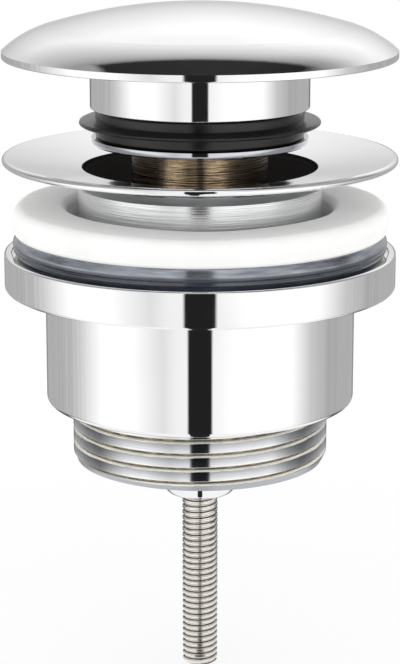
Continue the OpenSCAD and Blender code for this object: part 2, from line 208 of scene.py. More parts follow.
def lathe(bm, outline, closed=True, segments=SEGMENTS, shift=None):
    """Revolves an outline about the axis. shift(angle, r, z) moves a point off the true circle."""
    rows = []
    for point in outline:
        row = []
        for i in range(segments):
            angle = math.tau * i / segments
            r, z = shift(angle, *point) if shift else point
            row.append(bm.verts.new((r * math.cos(angle), r * math.sin(angle), z)))
        rows.append(row)
    pairs = list(zip(rows, rows[1:]))
    if closed:
        pairs.append((rows[-1], rows[0]))
    for lower, upper in pairs:
        for i in range(segments):
            j = (i + 1) % segments
            bm.faces.new((lower[i], lower[j], upper[j], upper[i]))
    return rows


def ring_edges(row):
    """Edges round a full row of a lathe."""
    return [edge for vert in row for edge in vert.link_edges if edge.other_vert(vert) in row]


def border_edges(bm, height):
    """Open edges of a mesh that lie at a height."""
    return [e for e in bm.edges if e.is_boundary and all(abs(v.co.z - height) < 1e-4 for v in e.verts)]


def fill_between(bm, *loops):
    """Flat faces between loops of edges that lie in one plane."""
    edges = list({edge for loop in loops for edge in loop})
    bmesh.ops.triangle_fill(bm, edges=edges, use_beauty=True)


def thread(bm, crest, depth, pitch, low, high, lead, form, segments):
    """Right-hand thread between two heights, as a helical surface that is cut flat at both ends.

    form lists (share of the pitch, share of the depth) over one pitch. The lower end has a cone of height
    lead.
    """
    end_r = crest - depth - THREAD_END_STEP
    first = math.floor((low - high) / pitch) - 2
    total = (math.ceil((high - low) / pitch) + 3) * segments
    rows = []
    for step in range(total + 1):
        angle = math.tau * step / segments
        row = []
        for share, rise in form:
            z = high + pitch * (first + step / segments + share)
            cone = end_r + max(z - low, 0) * (crest - end_r) / lead
            r = min(crest - depth * (1 - rise), cone)
            row.append(bm.verts.new((r * math.cos(angle), r * math.sin(angle), z)))
        rows.append(row)
    for step in range(total):
        near, far = rows[step], rows[step + 1]
        for k in range(len(form) - 1):
            bm.faces.new((near[k], far[k], far[k + 1], near[k + 1]))
        if step + 1 + segments <= total:
            near_next, far_next = rows[step + segments], rows[step + 1 + segments]
            bm.faces.new((near[-1], far[-1], far_next[0], near_next[0]))
    for height, normal in ((high, (0, 0, 1)), (low, (0, 0, -1))):
        everything = bm.verts[:] + bm.edges[:] + bm.faces[:]
        bmesh.ops.bisect_plane(
            bm, geom=everything, dist=1e-6, plane_co=(0, 0, height), plane_no=normal, clear_outer=True
        )


def arc_form(crest_width, root_width, steps=4):
    """Thread form with rounded crests and roots: shares of the pitch and of the depth over one pitch."""
    flank = (1 - crest_width - root_width) / 2
    form = [(0, 1), (crest_width / 2, 1)]
    for step in range(1, steps):
        share = step / steps
        form.append((crest_width / 2 + flank * share, 1 - (3 - 2 * share) * share * share))
    form.append((crest_width / 2 + flank, 0))
    form.append((crest_width / 2 + flank + root_width, 0))
    for step in range(1, steps):
        share = step / steps
        form.append((crest_width / 2 + flank + root_width + flank * share, (3 - 2 * share) * share * share))
    form.append((1 - crest_width / 2, 1))
    return form


def waste_body(material):
    """Collar, barrel and threaded spigot in one skin, with the hub and its three arms."""
    bm = bmesh.new()
    thread(bm, PIPE_CREST, PIPE_DEPTH, PIPE_PITCH, SPIGOT_LOW, BARREL_LOW, PIPE_LEAD,
           arc_form(*PIPE_FORM), SEGMENTS)
    thread_top = border_edges(bm, BARREL_LOW)
    thread_end = border_edges(bm, SPIGOT_LOW)
    barrel_in = BARREL_R - BARREL_WALL
    rows = lathe(bm, rounded([
        (ABOVE_THREAD_R, BARREL_LOW, 0), (BARREL_R, BARREL_LOW, 0.8), (BARREL_R, COLLAR_LOW, 0.3),
        (COLLAR_R, COLLAR_LOW, 0.5), (COLLAR_R, COLLAR_TOP, 0.45), (COLLAR_RECESS_R, COLLAR_TOP, 0.25),
        (COLLAR_RECESS_R, COLLAR_TOP - RECESS_DEPTH, 0), (barrel_in, COLLAR_TOP - RECESS_DEPTH, 0.4),
        (barrel_in, BARREL_LOW + BARREL_FLOOR, 1), (SPIGOT_IN, BARREL_LOW + BARREL_FLOOR, 0.6),
        (SPIGOT_IN, SPIGOT_LOW, 0.3), (THREAD_END_R, SPIGOT_LOW, 0),
    ], closed=False), closed=False)
    fill_between(bm, thread_top, ring_edges(rows[0]))
    fill_between(bm, thread_end, ring_edges(rows[-1]))
    hub_in = SCREW_R + SCREW_PLAY
    lathe(bm, rounded([
        (hub_in, HUB_LOW, 0.3), (HUB_R, HUB_LOW, 2), (HUB_R, HUB_TOP, 0.5), (hub_in, HUB_TOP, 0.3),
    ]), segments=SEGMENTS // 2)
    for angle in ARM_ANGLES:
        arm(bm, math.radians(angle))
    piece("waste_body_threaded", bm, "clamp", ["waste_body"], material)


def arm(bm, angle):
    """One arm between hub and spigot, with rounded long edges."""
    top = ARM_LOW + ARM_HEIGHT
    section = rounded([
        (-ARM_HALF, ARM_LOW, ARM_ROUND), (ARM_HALF, ARM_LOW, ARM_ROUND),
        (ARM_HALF, top, ARM_ROUND), (-ARM_HALF, top, ARM_ROUND),
    ], steps=3)
    ends = []
    for reach in (ARM_IN, ARM_OUT):
        ends.append([bm.verts.new((
            reach * math.cos(angle) - side * math.sin(angle),
            reach * math.sin(angle) + side * math.cos(angle), z,
        )) for side, z in section])
    for i in range(len(section)):
        j = (i + 1) % len(section)
        bm.faces.new((ends[0][i], ends[0][j], ends[1][j], ends[1][i]))
    for end in ends:
        bm.faces.new(end)


def tie_screw(material):
    """Socket head, plain shank and threaded end."""
    bm = bmesh.new()
    thread(bm, SCREW_R, SCREW_DEPTH, SCREW_PITCH, SCREW_LOW, SHANK_LOW, SCREW_LEAD,
           arc_form(*SCREW_FORM), SCREW_SEGMENTS)
    thread_top = border_edges(bm, SHANK_LOW)
    thread_end = border_edges(bm, SCREW_LOW)
    bmesh.ops.triangle_fill(bm, edges=thread_end, use_beauty=True)
    head_low = HEAD_TOP - HEAD_HEIGHT
    rows = lathe(bm, rounded([
        (SCREW_R - 0.1, SHANK_LOW, 0), (SCREW_R, SHANK_LOW + 0.1, 0), (SCREW_R, head_low, 0.2),
        (HEAD_R, head_low, 0.3), (HEAD_R, HEAD_TOP, 0.5), (HEAD_R - 1, HEAD_TOP, 0),
    ], closed=False), closed=False, segments=SCREW_SEGMENTS)
    fill_between(bm, thread_top, ring_edges(rows[0]))
    corner_r = SOCKET_ACROSS / 2 / math.cos(math.radians(30))
    hexagons = [[bm.verts.new((
        corner_r * math.cos(math.radians(60 * i)), corner_r * math.sin(math.radians(60 * i)), z,
    )) for i in range(6)] for z in (HEAD_TOP, HEAD_TOP - SOCKET_DEPTH)]
    for i in range(6):
        j = (i + 1) % 6
        bm.faces.new((hexagons[0][i], hexagons[0][j], hexagons[1][j], hexagons[1][i]))
    bm.faces.new(hexagons[1])
    fill_between(bm, ring_edges(rows[-1]), ring_edges(hexagons[0]))
    piece("tie_screw_threaded", bm, "screw", ["tie_screw"], material)


def foam_gasket(material):
    """Soft ring with rounded edges and sides that are a little uneven, as cut foam is."""
    def uneven(angle, r, z):
        height = (z - FOAM_LOW) / (FOAM_TOP - FOAM_LOW)
        wave = sum(size * math.sin(count * angle + phase) for size, count, phase in FOAM_WAVES)
        outward = 1 if r > (FOAM_R + GASKET_IN) / 2 else -FOAM_HOLE_SHARE
        dip = FOAM_DIP * height * (math.sin(2 * angle + 1.3) + 0.6 * math.sin(5 * angle) - 1.6)
        return r + outward * (wave - FOAM_WAVE_REACH) * (0.35 + 0.65 * height), z + dip

    bm = bmesh.new()
    lathe(bm, rounded([
        (GASKET_IN, FOAM_LOW, 0.3), (FOAM_R - 0.35, FOAM_LOW, 0.8), (FOAM_R, (FOAM_LOW + FOAM_TOP) / 2, 2),
        (FOAM_R - 0.25, FOAM_TOP, 1.5), (GASKET_IN, FOAM_TOP, 1.2),
    ], steps=7), shift=uneven)
    foam = piece("foam_gasket_soft", bm, "clamp", ["foam_gasket"], material)


def clear_gasket(material):
    """Clear ring with a lip and two fine ribs round its edge."""
    edge_in = CLEAR_R - 0.45
    collar_z = CLEAR_LOW + RECESS_DEPTH
    bm = bmesh.new()
    lathe(bm, rounded([
        (GASKET_IN, CLEAR_LOW, 0.2), (edge_in, CLEAR_LOW, 0.1), (edge_in, collar_z + 0.1, 0.15),
        (CLEAR_R - 0.05, collar_z + 0.55, 0.25), (CLEAR_R - 0.25, collar_z + 0.95, 0.12),
        (CLEAR_R, collar_z + 1.35, 0.3), (CLEAR_R - 0.1, collar_z + 1.9, 0.3),
        (edge_in - 0.15, CLEAR_TOP, 0.25), (GASKET_IN, CLEAR_TOP, 0.2),
    ], steps=4))
    piece("clear_gasket_ribbed", bm, "clamp", ["clear_gasket"], material)


def return_spring(material):
    """Round wire coiled with closed ends."""
    mean_r = SPRING_R - SPRING_WIRE
    height = SPRING_TOP - SPRING_LOW
    lift = height - 4 * SPRING_WIRE
    total = round(SPRING_STEPS * (SPRING_TURNS + 2 * SPRING_DEAD_TURNS))
    bm = bmesh.new()
    rows = []
    for step in range(total + 1):
        turn = step / SPRING_STEPS
        live = min(max(turn - SPRING_DEAD_TURNS, 0), SPRING_TURNS)
        lean = min(turn, SPRING_DEAD_TURNS) + max(turn - SPRING_DEAD_TURNS - SPRING_TURNS, 0)
        z = SPRING_LOW + SPRING_WIRE * (1 + lean / SPRING_DEAD_TURNS) + live / SPRING_TURNS * lift
        angle = math.tau * turn
        row = []
        for side in range(SPRING_SIDES):
            tilt = math.tau * side / SPRING_SIDES
            r = mean_r + SPRING_WIRE * math.cos(tilt)
            wire_z = z + SPRING_WIRE * math.sin(tilt)
            row.append(bm.verts.new((r * math.cos(angle), r * math.sin(angle), wire_z)))
        rows.append(row)
    for near, far in zip(rows, rows[1:]):
        for i in range(SPRING_SIDES):
            j = (i + 1) % SPRING_SIDES
            bm.faces.new((near[i], near[j], far[j], far[i]))
    bm.faces.new(rows[0])
    bm.faces.new(rows[-1])
    spring = piece("return_spring_coil", bm, "flange", ["return_spring"], material)
    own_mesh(spring)


# Materials

BLACK = (0, 0, 0)
BUMP_DEPTH = 0.1


class Nodes:
    """A node tree with short calls for what the finishes and the sky share."""

    def __init__(self, tree):
        self.tree = tree

    def add(self, kind):
        return self.tree.nodes.new("ShaderNode" + kind)

    def link(self, start, end):
        self.tree.links.new(start, end)

    def feed(self, socket, value):
        """Sets a socket to a number or a colour, or links it."""
        if isinstance(value, (int, float)):
            socket.default_value = value
        elif isinstance(value, tuple):
            socket.default_value = (*value, 1)
        else:
            self.link(value, socket)

    def math_vector(self, operation, vector, second=None, scale=None):
        """Vector maths of a vector with a fixed second one or with a scale."""
        node = self.add("VectorMath")
        node.operation = operation
        self.link(vector, node.inputs[0])
        if second is not None:
            node.inputs[1].default_value = second
        if scale is not None:
            self.feed(node.inputs["Scale"], scale)
        return node.outputs["Value" if operation == "LENGTH" else "Vector"]

    def math(self, operation, first, second):
        node = self.add("Math")
        node.operation = operation
        self.feed(node.inputs[0], first)
        self.feed(node.inputs[1], second)
        return node.outputs[0]

    def split(self, vector):
        """The three coordinates of a vector."""
        node = self.add("SeparateXYZ")
        self.link(vector, node.inputs[0])
        return [node.outputs[axis] for axis in "XYZ"]

    def spread(self, value, start, end, low, high):
        """Takes start to end onto low to high."""
        node = self.add("MapRange")
        for socket, number in zip(("From Min", "From Max", "To Min", "To Max"), (start, end, low, high)):
            node.inputs[socket].default_value = number
        self.link(value, node.inputs["Value"])
        return node.outputs["Result"]

    def between(self, value, low, high, soft=0.05):
        """1 where the value lies between two limits, 0 elsewhere."""
        above = self.spread(value, low - soft, low + soft, 0, 1)
        below = self.spread(value, high - soft, high + soft, 1, 0)
        return self.math("MULTIPLY", above, below)

    def ramp(self, value, *stops):
        """Ramp through (position, colour) or (position, grey) stops."""
        node = self.add("ValToRGB")
        elements = node.color_ramp.elements
        while len(elements) < len(stops):
            elements.new(0.5)
        for element, (position, colour) in zip(elements, stops):
            element.position = position
            element.color = (*colour, 1) if isinstance(colour, tuple) else (colour, colour, colour, 1)
        self.link(value, node.inputs["Fac"])
        return node.outputs["Color"]

    def mix(self, factor, first, second):
        """Colour or number that goes from first to second."""
        node = self.add("Mix")
        number = isinstance(second, (int, float))
        node.data_type = "FLOAT" if number else "RGBA"
        a, b, out = (2, 3, 0) if number else (6, 7, 2)
        self.feed(node.inputs["Factor"], factor)
        self.feed(node.inputs[a], first)
        self.feed(node.inputs[b], second)
        return node.outputs[out]


class Finish(Nodes):
    """A material whose lengths are in millimetres."""

    def __init__(self, name, **inputs):
        self.material = bpy.data.materials.new(name)
        self.material.use_nodes = True
        super().__init__(self.material.node_tree)
        self.shader = self.tree.nodes["Principled BSDF"]
        for key, value in inputs.items():
            self.shader.inputs[key.replace("_", " ")].default_value = value
        coordinates = self.add("TexCoord")
        self.place = self.math_vector("SCALE", coordinates.outputs["Object"], scale=1 / MM)

    def radius(self):
        """Distance from the object's axis."""
        return self.math_vector("LENGTH", self.math_vector("MULTIPLY", self.place, (1, 1, 0)))

    def height(self):
        return self.split(self.place)[2]

    def thread_share(self, pitch, high):
        """Share of the pitch on a right-hand thread: 0.5 on its crest, 0 and 1 in its root."""
        x, y, z = self.split(self.place)
        turns = self.math("DIVIDE", self.math("ARCTAN2", y, x), math.tau)
        rise = self.math("DIVIDE", self.math("SUBTRACT", z, high - pitch / 2), pitch)
        return self.math("FRACT", self.math("SUBTRACT", rise, turns), 0)

    def noise(self, size, squeeze=(1, 1, 1), detail=3):
        """Noise with features of about that size, squeezed along the axes."""
        node = self.add("TexNoise")
        node.inputs["Scale"].default_value = 1 / size
        node.inputs["Detail"].default_value = detail
        self.link(self.math_vector("MULTIPLY", self.place, squeeze), node.inputs["Vector"])
        return node.outputs["Fac"]

    def bump(self, height, strength):
        node = self.add("Bump")
        node.inputs["Strength"].default_value = strength
        node.inputs["Distance"].default_value = BUMP_DEPTH * MM
        self.link(height, node.inputs["Height"])
        self.link(node.outputs["Normal"], self.shader.inputs["Normal"])

    def drive(self, socket, value):
        """Links a value to one of the shader's sockets."""
        self.link(value, self.shader.inputs[socket])


CHROME = (0.935, 0.935, 0.94)
CHROME_HAZE = (0.89, 0.89, 0.9)
CHROME_LEDGE_SHADE = (0.64, 0.65, 0.68)
HAZE_SIZE = 14


def plating(finish):
    """Faint haze of a mirror plate, and the plate's colour."""
    haze = finish.noise(HAZE_SIZE, detail=4)
    return haze, finish.ramp(haze, (0.35, CHROME), (0.75, CHROME_HAZE))


def chrome():
    """Mirror plate with faint haze and polishing marks, and painted shade on the plug's lower ledge: a darker
    grey-blue plate there.
    """
    finish = Finish("chrome_polished", Metallic=1.0)
    haze, plate = plating(finish)
    marks = finish.noise(0.6, squeeze=(1, 1, 3), detail=2)
    # Painted shade: the plug's lower ledge gets a darker grey-blue plate
    ledge_shade = finish.spread(finish.height(), LEDGE_TOP - 0.1, LEDGE_TOP, 1, 0)
    finish.drive("Base Color", finish.mix(ledge_shade, plate, CHROME_LEDGE_SHADE))
    finish.drive("Roughness", finish.spread(haze, 0.3, 0.75, 0.025, 0.07))
    finish.bump(marks, 0.012)
    return finish.material


def body_chrome():
    """Polished body whose thread has painted light: grey crests and pale lines on the flanks as painted
    reflections, painted dark shade in its roots that is brown where lightest, and a painted grey chamfer at
    its end.
    """
    finish = Finish("chrome_body")
    radius, height = finish.radius(), finish.height()
    haze, plate = plating(finish)
    blotches = finish.noise(1.4, squeeze=(1, 1, 0.4), detail=5)
    lines = finish.noise(0.3, squeeze=(0.03, 0.03, 1.5), detail=3)
    outside = finish.spread(radius, SPIGOT_IN + 0.3, SPIGOT_IN + 0.5, 0, 1)
    below = finish.spread(height, BARREL_LOW - 0.05, BARREL_LOW + 0.05, 1, 0)
    thread_zone = finish.math("MULTIPLY", outside, below)
    off_crest = finish.spread(radius, PIPE_CREST - 0.14, PIPE_CREST - 0.06, 1, 0)
    flank = finish.math("MULTIPLY", thread_zone, off_crest)
    # Painted light on the thread: grey crests and pale flank lines are painted reflections, and the roots get
    # painted dark shade
    pale, bright, grey = (1, 0.98, 0.91), (0.84, 0.85, 0.87), (0.4, 0.41, 0.43)
    root_shade = finish.mix(finish.spread(blotches, 0.4, 0.65, 0, 1), (0.06, 0.05, 0.04), (0.36, 0.31, 0.22))
    wander = finish.spread(blotches, 0.3, 0.7, -0.02, 0.02)
    share = finish.math("ADD", finish.thread_share(PIPE_PITCH, BARREL_LOW), wander)
    painted_thread = finish.ramp(share, (0.18, pale), (0.22, pale), (0.25, bright), (0.81, grey), (0.84, pale))
    painted_thread = finish.mix(finish.between(share, 0.08, 0.93, 0.02), root_shade, painted_thread)
    # Painted shade: the chamfer at the thread's end is painted grey-blue
    lead = finish.spread(height, SPIGOT_LOW + 0.75, SPIGOT_LOW + 0.9, 1, 0)
    painted_thread = finish.mix(lead, painted_thread, (0.45, 0.47, 0.5))
    scored = finish.mix(finish.spread(lines, 0.3, 0.7, 0.2, 0), painted_thread, (0.3, 0.3, 0.31))
    finish.drive("Base Color", finish.mix(thread_zone, plate, scored))
    finish.drive("Metallic", finish.spread(flank, 0, 1, 1, 0.3))
    smooth = finish.spread(haze, 0.3, 0.75, 0.025, 0.06)
    finish.drive("Roughness", finish.mix(flank, finish.mix(thread_zone, smooth, 0.08), 0.3))
    finish.bump(finish.math("MULTIPLY", lines, thread_zone), 0.06)
    return finish.material


def flange_chrome():
    """Polished flange with a brushed neck, a duller cone above the neck, and a bore painted near black inside
    as painted shade, darkest on its rounded mouth.
    """
    finish = Finish("chrome_flange")
    radius = finish.radius()
    haze, plate = plating(finish)
    lines = finish.noise(0.35, squeeze=(0.02, 0.02, 1.6), detail=3)
    below = finish.spread(finish.height(), NECK_TOP - 0.4, NECK_TOP, 1, 0)
    neck = finish.math("MULTIPLY", finish.between(radius, NECK_R - 0.4, NECK_R + 2.4), below)
    cone = finish.math("MULTIPLY", neck, finish.spread(radius, NECK_R + 0.05, NECK_R + 0.2, 0, 1))
    bore = finish.spread(radius, BORE_EDGE - 0.1, BORE_EDGE, 1, 0)
    brushed = finish.ramp(lines, (0.3, (0.74, 0.75, 0.76)), (0.7, (1, 1, 1)))
    dull = finish.ramp(lines, (0.3, (0.78, 0.81, 0.82)), (0.7, (0.98, 1, 1)))
    outside = finish.mix(cone, finish.mix(neck, plate, brushed), dull)
    # Painted shade: the bore is painted near black, darkest on the rounded edge of its mouth
    near_edge = finish.spread(radius, BORE_EDGE - 0.9, BORE_EDGE, 0, 1)
    inside = finish.ramp(near_edge, (0.1, (0.11, 0.1, 0.1)), (0.4, (0.03, 0.03, 0.03)))
    finish.drive("Base Color", finish.mix(bore, outside, inside))
    finish.drive("Metallic", finish.spread(bore, 0, 1, 1, 0))
    finish.drive("Specular IOR Level", finish.spread(bore, 0, 1, 0.5, 0))
    smooth = finish.spread(haze, 0.3, 0.75, 0.025, 0.07)
    finish.drive("Roughness", finish.mix(bore, finish.mix(cone, finish.mix(neck, smooth, 0.16), 0.34), 0.4))
    relief = finish.math("MULTIPLY", lines, finish.math("MULTIPLY", finish.math("MAXIMUM", neck, bore), 0.35))
    flatter = finish.math("MULTIPLY", finish.math("MAXIMUM", radius, BORE_EDGE), -DISH_FLATTER)
    finish.bump(finish.math("ADD", relief, flatter), 1.0)
    return finish.material


# Painted reflection on the brass sleeve: share of painted dark by millimetres to the right of its middle,
# dark on the two sides and along the middle, with two bright lobes between
SLEEVE_REFLECTION_SHADE = (
    (-6.8, 0.97), (-5.9, 0.82), (-4.9, 0.12), (-3.9, 0), (-2.9, 0.25), (-2, 0.6), (-0.8, 0.6), (-0.2, 0.93),
    (0.25, 0.93), (1, 0.25), (1.8, 0), (3, 0), (3.9, 0.36), (4.9, 0.84), (5.9, 0.97),
)


def turned_brass():
    """Bare brass with turning lines and patchy brown patina, under a painted reflection: painted dark in the
    middle and on the two sides.
    """
    finish = Finish("brass_turned", Metallic=1.0)
    lines = finish.noise(0.2, squeeze=(0.012, 0.012, 1.3), detail=4)
    blotches = finish.noise(4, squeeze=(1, 1, 0.6), detail=5)
    colour = finish.ramp(lines, (0.3, (0.95, 0.7, 0.42)), (0.7, (1, 0.77, 0.48)))
    wander = finish.spread(blotches, 0.3, 0.7, -0.25, 0.25)
    across = finish.math("ADD", finish.split(finish.place)[0], wander)
    # Painted reflection across the sleeve, fixed to its front: dark sides, a dark middle line and two bright
    # lobes
    reflection_bands = finish.ramp(finish.spread(across, -SLEEVE_R, SLEEVE_R, 0, 1), *(
        (x / SLEEVE_R / 2 + 0.5, level) for x, level in SLEEVE_REFLECTION_SHADE
    ))
    tarnish_and_reflection = finish.math("MAXIMUM", finish.spread(blotches, 0.5, 0.75, 0, 0.2), reflection_bands)
    finish.drive("Base Color", finish.mix(tarnish_and_reflection, colour, (0.11, 0.085, 0.065)))
    finish.drive("Roughness", finish.spread(lines, 0.3, 0.7, 0.2, 0.14))
    finish.bump(lines, 1.3)
    return finish.material


def plain_brass():
    """Bare brass of the pieces inside."""
    finish = Finish("brass_bright", Metallic=1.0)
    cloud = finish.noise(4, detail=4)
    finish.drive("Base Color", finish.ramp(cloud, (0.3, (0.5, 0.33, 0.14)), (0.7, (0.74, 0.56, 0.28))))
    finish.drive("Roughness", finish.spread(cloud, 0.3, 0.7, 0.2, 0.34))
    finish.bump(finish.noise(0.3, detail=2), 0.06)
    return finish.material


def steel():
    """Warm stainless steel with drawn lines."""
    finish = Finish("steel_drawn", Metallic=1.0)
    cloud = finish.noise(3, detail=4)
    grain = finish.noise(0.2, squeeze=(1, 1, 0.2), detail=3)
    finish.drive("Base Color", finish.ramp(cloud, (0.3, (0.56, 0.51, 0.46)), (0.7, (0.76, 0.71, 0.65))))
    finish.drive("Roughness", finish.spread(grain, 0.3, 0.7, 0.2, 0.36))
    finish.bump(grain, 0.08)
    return finish.material


def bright_steel():
    """Bright roll-formed steel of the tie screw, a little warm. Its thread has painted shade: dark lines on
    the flanks and a dim line along each crest.
    """
    finish = Finish("steel_bright", Metallic=1.0)
    cloud = finish.noise(3, detail=4)
    warm, dull, dark = (1, 0.97, 0.92), (0.36, 0.32, 0.29), (0.18, 0.155, 0.14)
    # Painted shade on the thread: dark lines on the flanks and a dim line along each crest
    painted_screw_lines = finish.ramp(
        finish.thread_share(SCREW_PITCH, SHANK_LOW), (0.04, warm), (0.12, dark), (0.18, dark), (0.26, warm),
        (0.47, warm), (0.54, dull), (0.61, warm), (0.77, warm), (0.82, dark), (0.86, dark), (0.92, warm),
    )
    thread_zone = finish.spread(finish.height(), SHANK_LOW - 0.1, SHANK_LOW, 1, 0)
    plain = finish.ramp(cloud, (0.3, (0.84, 0.8, 0.74)), (0.7, (0.93, 0.9, 0.86)))
    finish.drive("Base Color", finish.mix(thread_zone, plain, painted_screw_lines))
    finish.drive("Roughness", finish.spread(cloud, 0.3, 0.7, 0.23, 0.3))
    finish.bump(finish.noise(0.4, detail=2), 0.02)
    return finish.material


def rubber():
    """Black moulded rubber with a grey bloom."""
    finish = Finish("rubber_black")
    bloom = finish.noise(6, detail=5)
    finish.drive("Base Color", finish.ramp(bloom, (0.35, (0.005, 0.005, 0.005)), (0.8, (0.02, 0.019, 0.018))))
    finish.drive("Roughness", finish.spread(bloom, 0.3, 0.75, 0.18, 0.3))
    finish.bump(finish.noise(0.25, detail=3), 0.06)
    return finish.material


def foam():
    """White closed-cell foam: fine cells, faint shade between them."""
    finish = Finish("foam_white", Roughness=0.92)
    cells = finish.noise(0.35, detail=4)
    cloud = finish.noise(9, detail=3)
    base = finish.ramp(cloud, (0.3, (0.9, 0.9, 0.885)), (0.7, (0.95, 0.95, 0.94)))
    finish.drive("Base Color", finish.mix(finish.spread(cells, 0.62, 0.8, 0, 0.35), base, (0.8, 0.8, 0.79)))
    finish.bump(cells, 0.22)
    return finish.material


def clear_plastic():
    """Clear soft plastic: dark bluish below, a glossy bevel above that is painted lighter and partly metallic
    as a painted reflection, and fine flow lines.
    """
    finish = Finish("gasket_clear", IOR=1.6, Transmission_Weight=0.25, Coat_Weight=0.6, Coat_Roughness=0.12)
    flow = finish.noise(1.6, squeeze=(0.25, 0.25, 2), detail=4)
    bevel = finish.spread(finish.height(), CLEAR_TOP - 1.5, CLEAR_TOP - 1.1, 0, 1)
    depth = finish.ramp(flow, (0.3, (0.02, 0.024, 0.034)), (0.7, (0.075, 0.09, 0.12)))
    # Painted reflection: the bevel above is painted lighter and made partly metallic
    glare = finish.ramp(flow, (0.3, (0.22, 0.24, 0.29)), (0.7, (0.56, 0.59, 0.64)))
    finish.drive("Base Color", finish.mix(bevel, depth, glare))
    finish.drive("Metallic", finish.math("MULTIPLY", bevel, 0.75))
    finish.drive("Roughness", finish.spread(flow, 0.3, 0.7, 0.1, 0.2))
    finish.bump(finish.noise(0.5, squeeze=(0.1, 0.1, 1.5)), 0.16)
    return finish.material


def polymer():
    """Natural acetal, a little waxy."""
    finish = Finish("polymer_white")
    cloud = finish.noise(5, detail=3)
    finish.drive("Base Color", finish.ramp(cloud, (0.3, (0.78, 0.77, 0.73)), (0.7, (0.86, 0.85, 0.81))))
    finish.drive("Roughness", finish.spread(cloud, 0.3, 0.7, 0.4, 0.55))
    finish.bump(finish.noise(0.3), 0.06)
    return finish.material


# Studio

# Lengths in metres, the slit's half width in degrees
FLOOR_SIZE = 8
FLOOR_COLOUR = (0.9, 0.9, 0.9, 1)
FLOOR_WHITE = 0.8
LIGHT = 1.15
TENT_R = 0.105
TENT_FLOOR_R = 1.0
TENT_TOP = 0.022
TENT_BACK_DROP = 0.021
TENT_HOLE_R = 0.004
TENT_SLIT = 7.5
TENT_SLIT_RISE = 0.028
TENT_SEGMENTS = 96

# Brightness of the tent's wall, by degrees round from the camera
TENT_LEVELS = (
    (-158, 0.12), (-145, 0.44), (-115, 0.45), (-100, 0.5), (-88, 0.68), (-74, 1.0), (-68, 1.12), (-45, 1.12),
    (-24, 0.8), (-15, 0.95), (-TENT_SLIT - 0.4, 0.97), (-TENT_SLIT, 0.015),
    (TENT_SLIT, 0.015), (TENT_SLIT + 0.4, 0.97), (24, 1.12), (62, 1.12), (80, 0.62), (103, 0.43),
    (145, 0.46), (158, 0.12),
)
TENT_UNDER, TENT_UNDER_SLIT, TENT_UNDER_BACK = (0.98, 0.98, 0.98), (0.02, 0.02, 0.02), (0.1, 0.1, 0.11)
TENT_OUTSIDE = (0.42, 0.42, 0.43)
TENT_UPPER_EDGE = (0.04, 0.04, 0.04)

# Brightness of the sky in reflections, from the dark ceiling out to the bright walls
SKY_LEVELS = (
    (0.34, 0.03), (0.36, 0.12), (0.4, 0.36), (0.45, 0.5),
    (0.56, 0.7), (0.63, 0.79), (0.72, 0.92), (0.84, 1.1),
)


def floor(z):
    """Pale floor that shows white to the camera and in the metal, and keeps the object's shadow."""
    mesh = bpy.data.meshes.new("floor")
    half = FLOOR_SIZE / 2
    corners = [(-half, -half, z), (half, -half, z), (half, half, z), (-half, half, z)]
    mesh.from_pydata(corners, [], [(0, 1, 2, 3)])
    obj = add_object("floor", mesh)
    finish = Finish("floor_pale", Base_Color=FLOOR_COLOUR, Roughness=0.9)
    path, glow, blend = finish.add("LightPath"), finish.add("Emission"), finish.add("MixShader")
    seen = finish.math("MAXIMUM", path.outputs["Is Camera Ray"], path.outputs["Is Glossy Ray"])
    seen = finish.math("MAXIMUM", seen, path.outputs["Is Transmission Ray"])
    finish.link(finish.math("MULTIPLY", seen, FLOOR_WHITE), blend.inputs["Fac"])
    finish.link(finish.shader.outputs["BSDF"], blend.inputs[1])
    finish.link(glow.outputs["Emission"], blend.inputs[2])
    finish.link(blend.outputs["Shader"], finish.tree.nodes["Material Output"].inputs["Surface"])
    mesh.materials.append(finish.material)


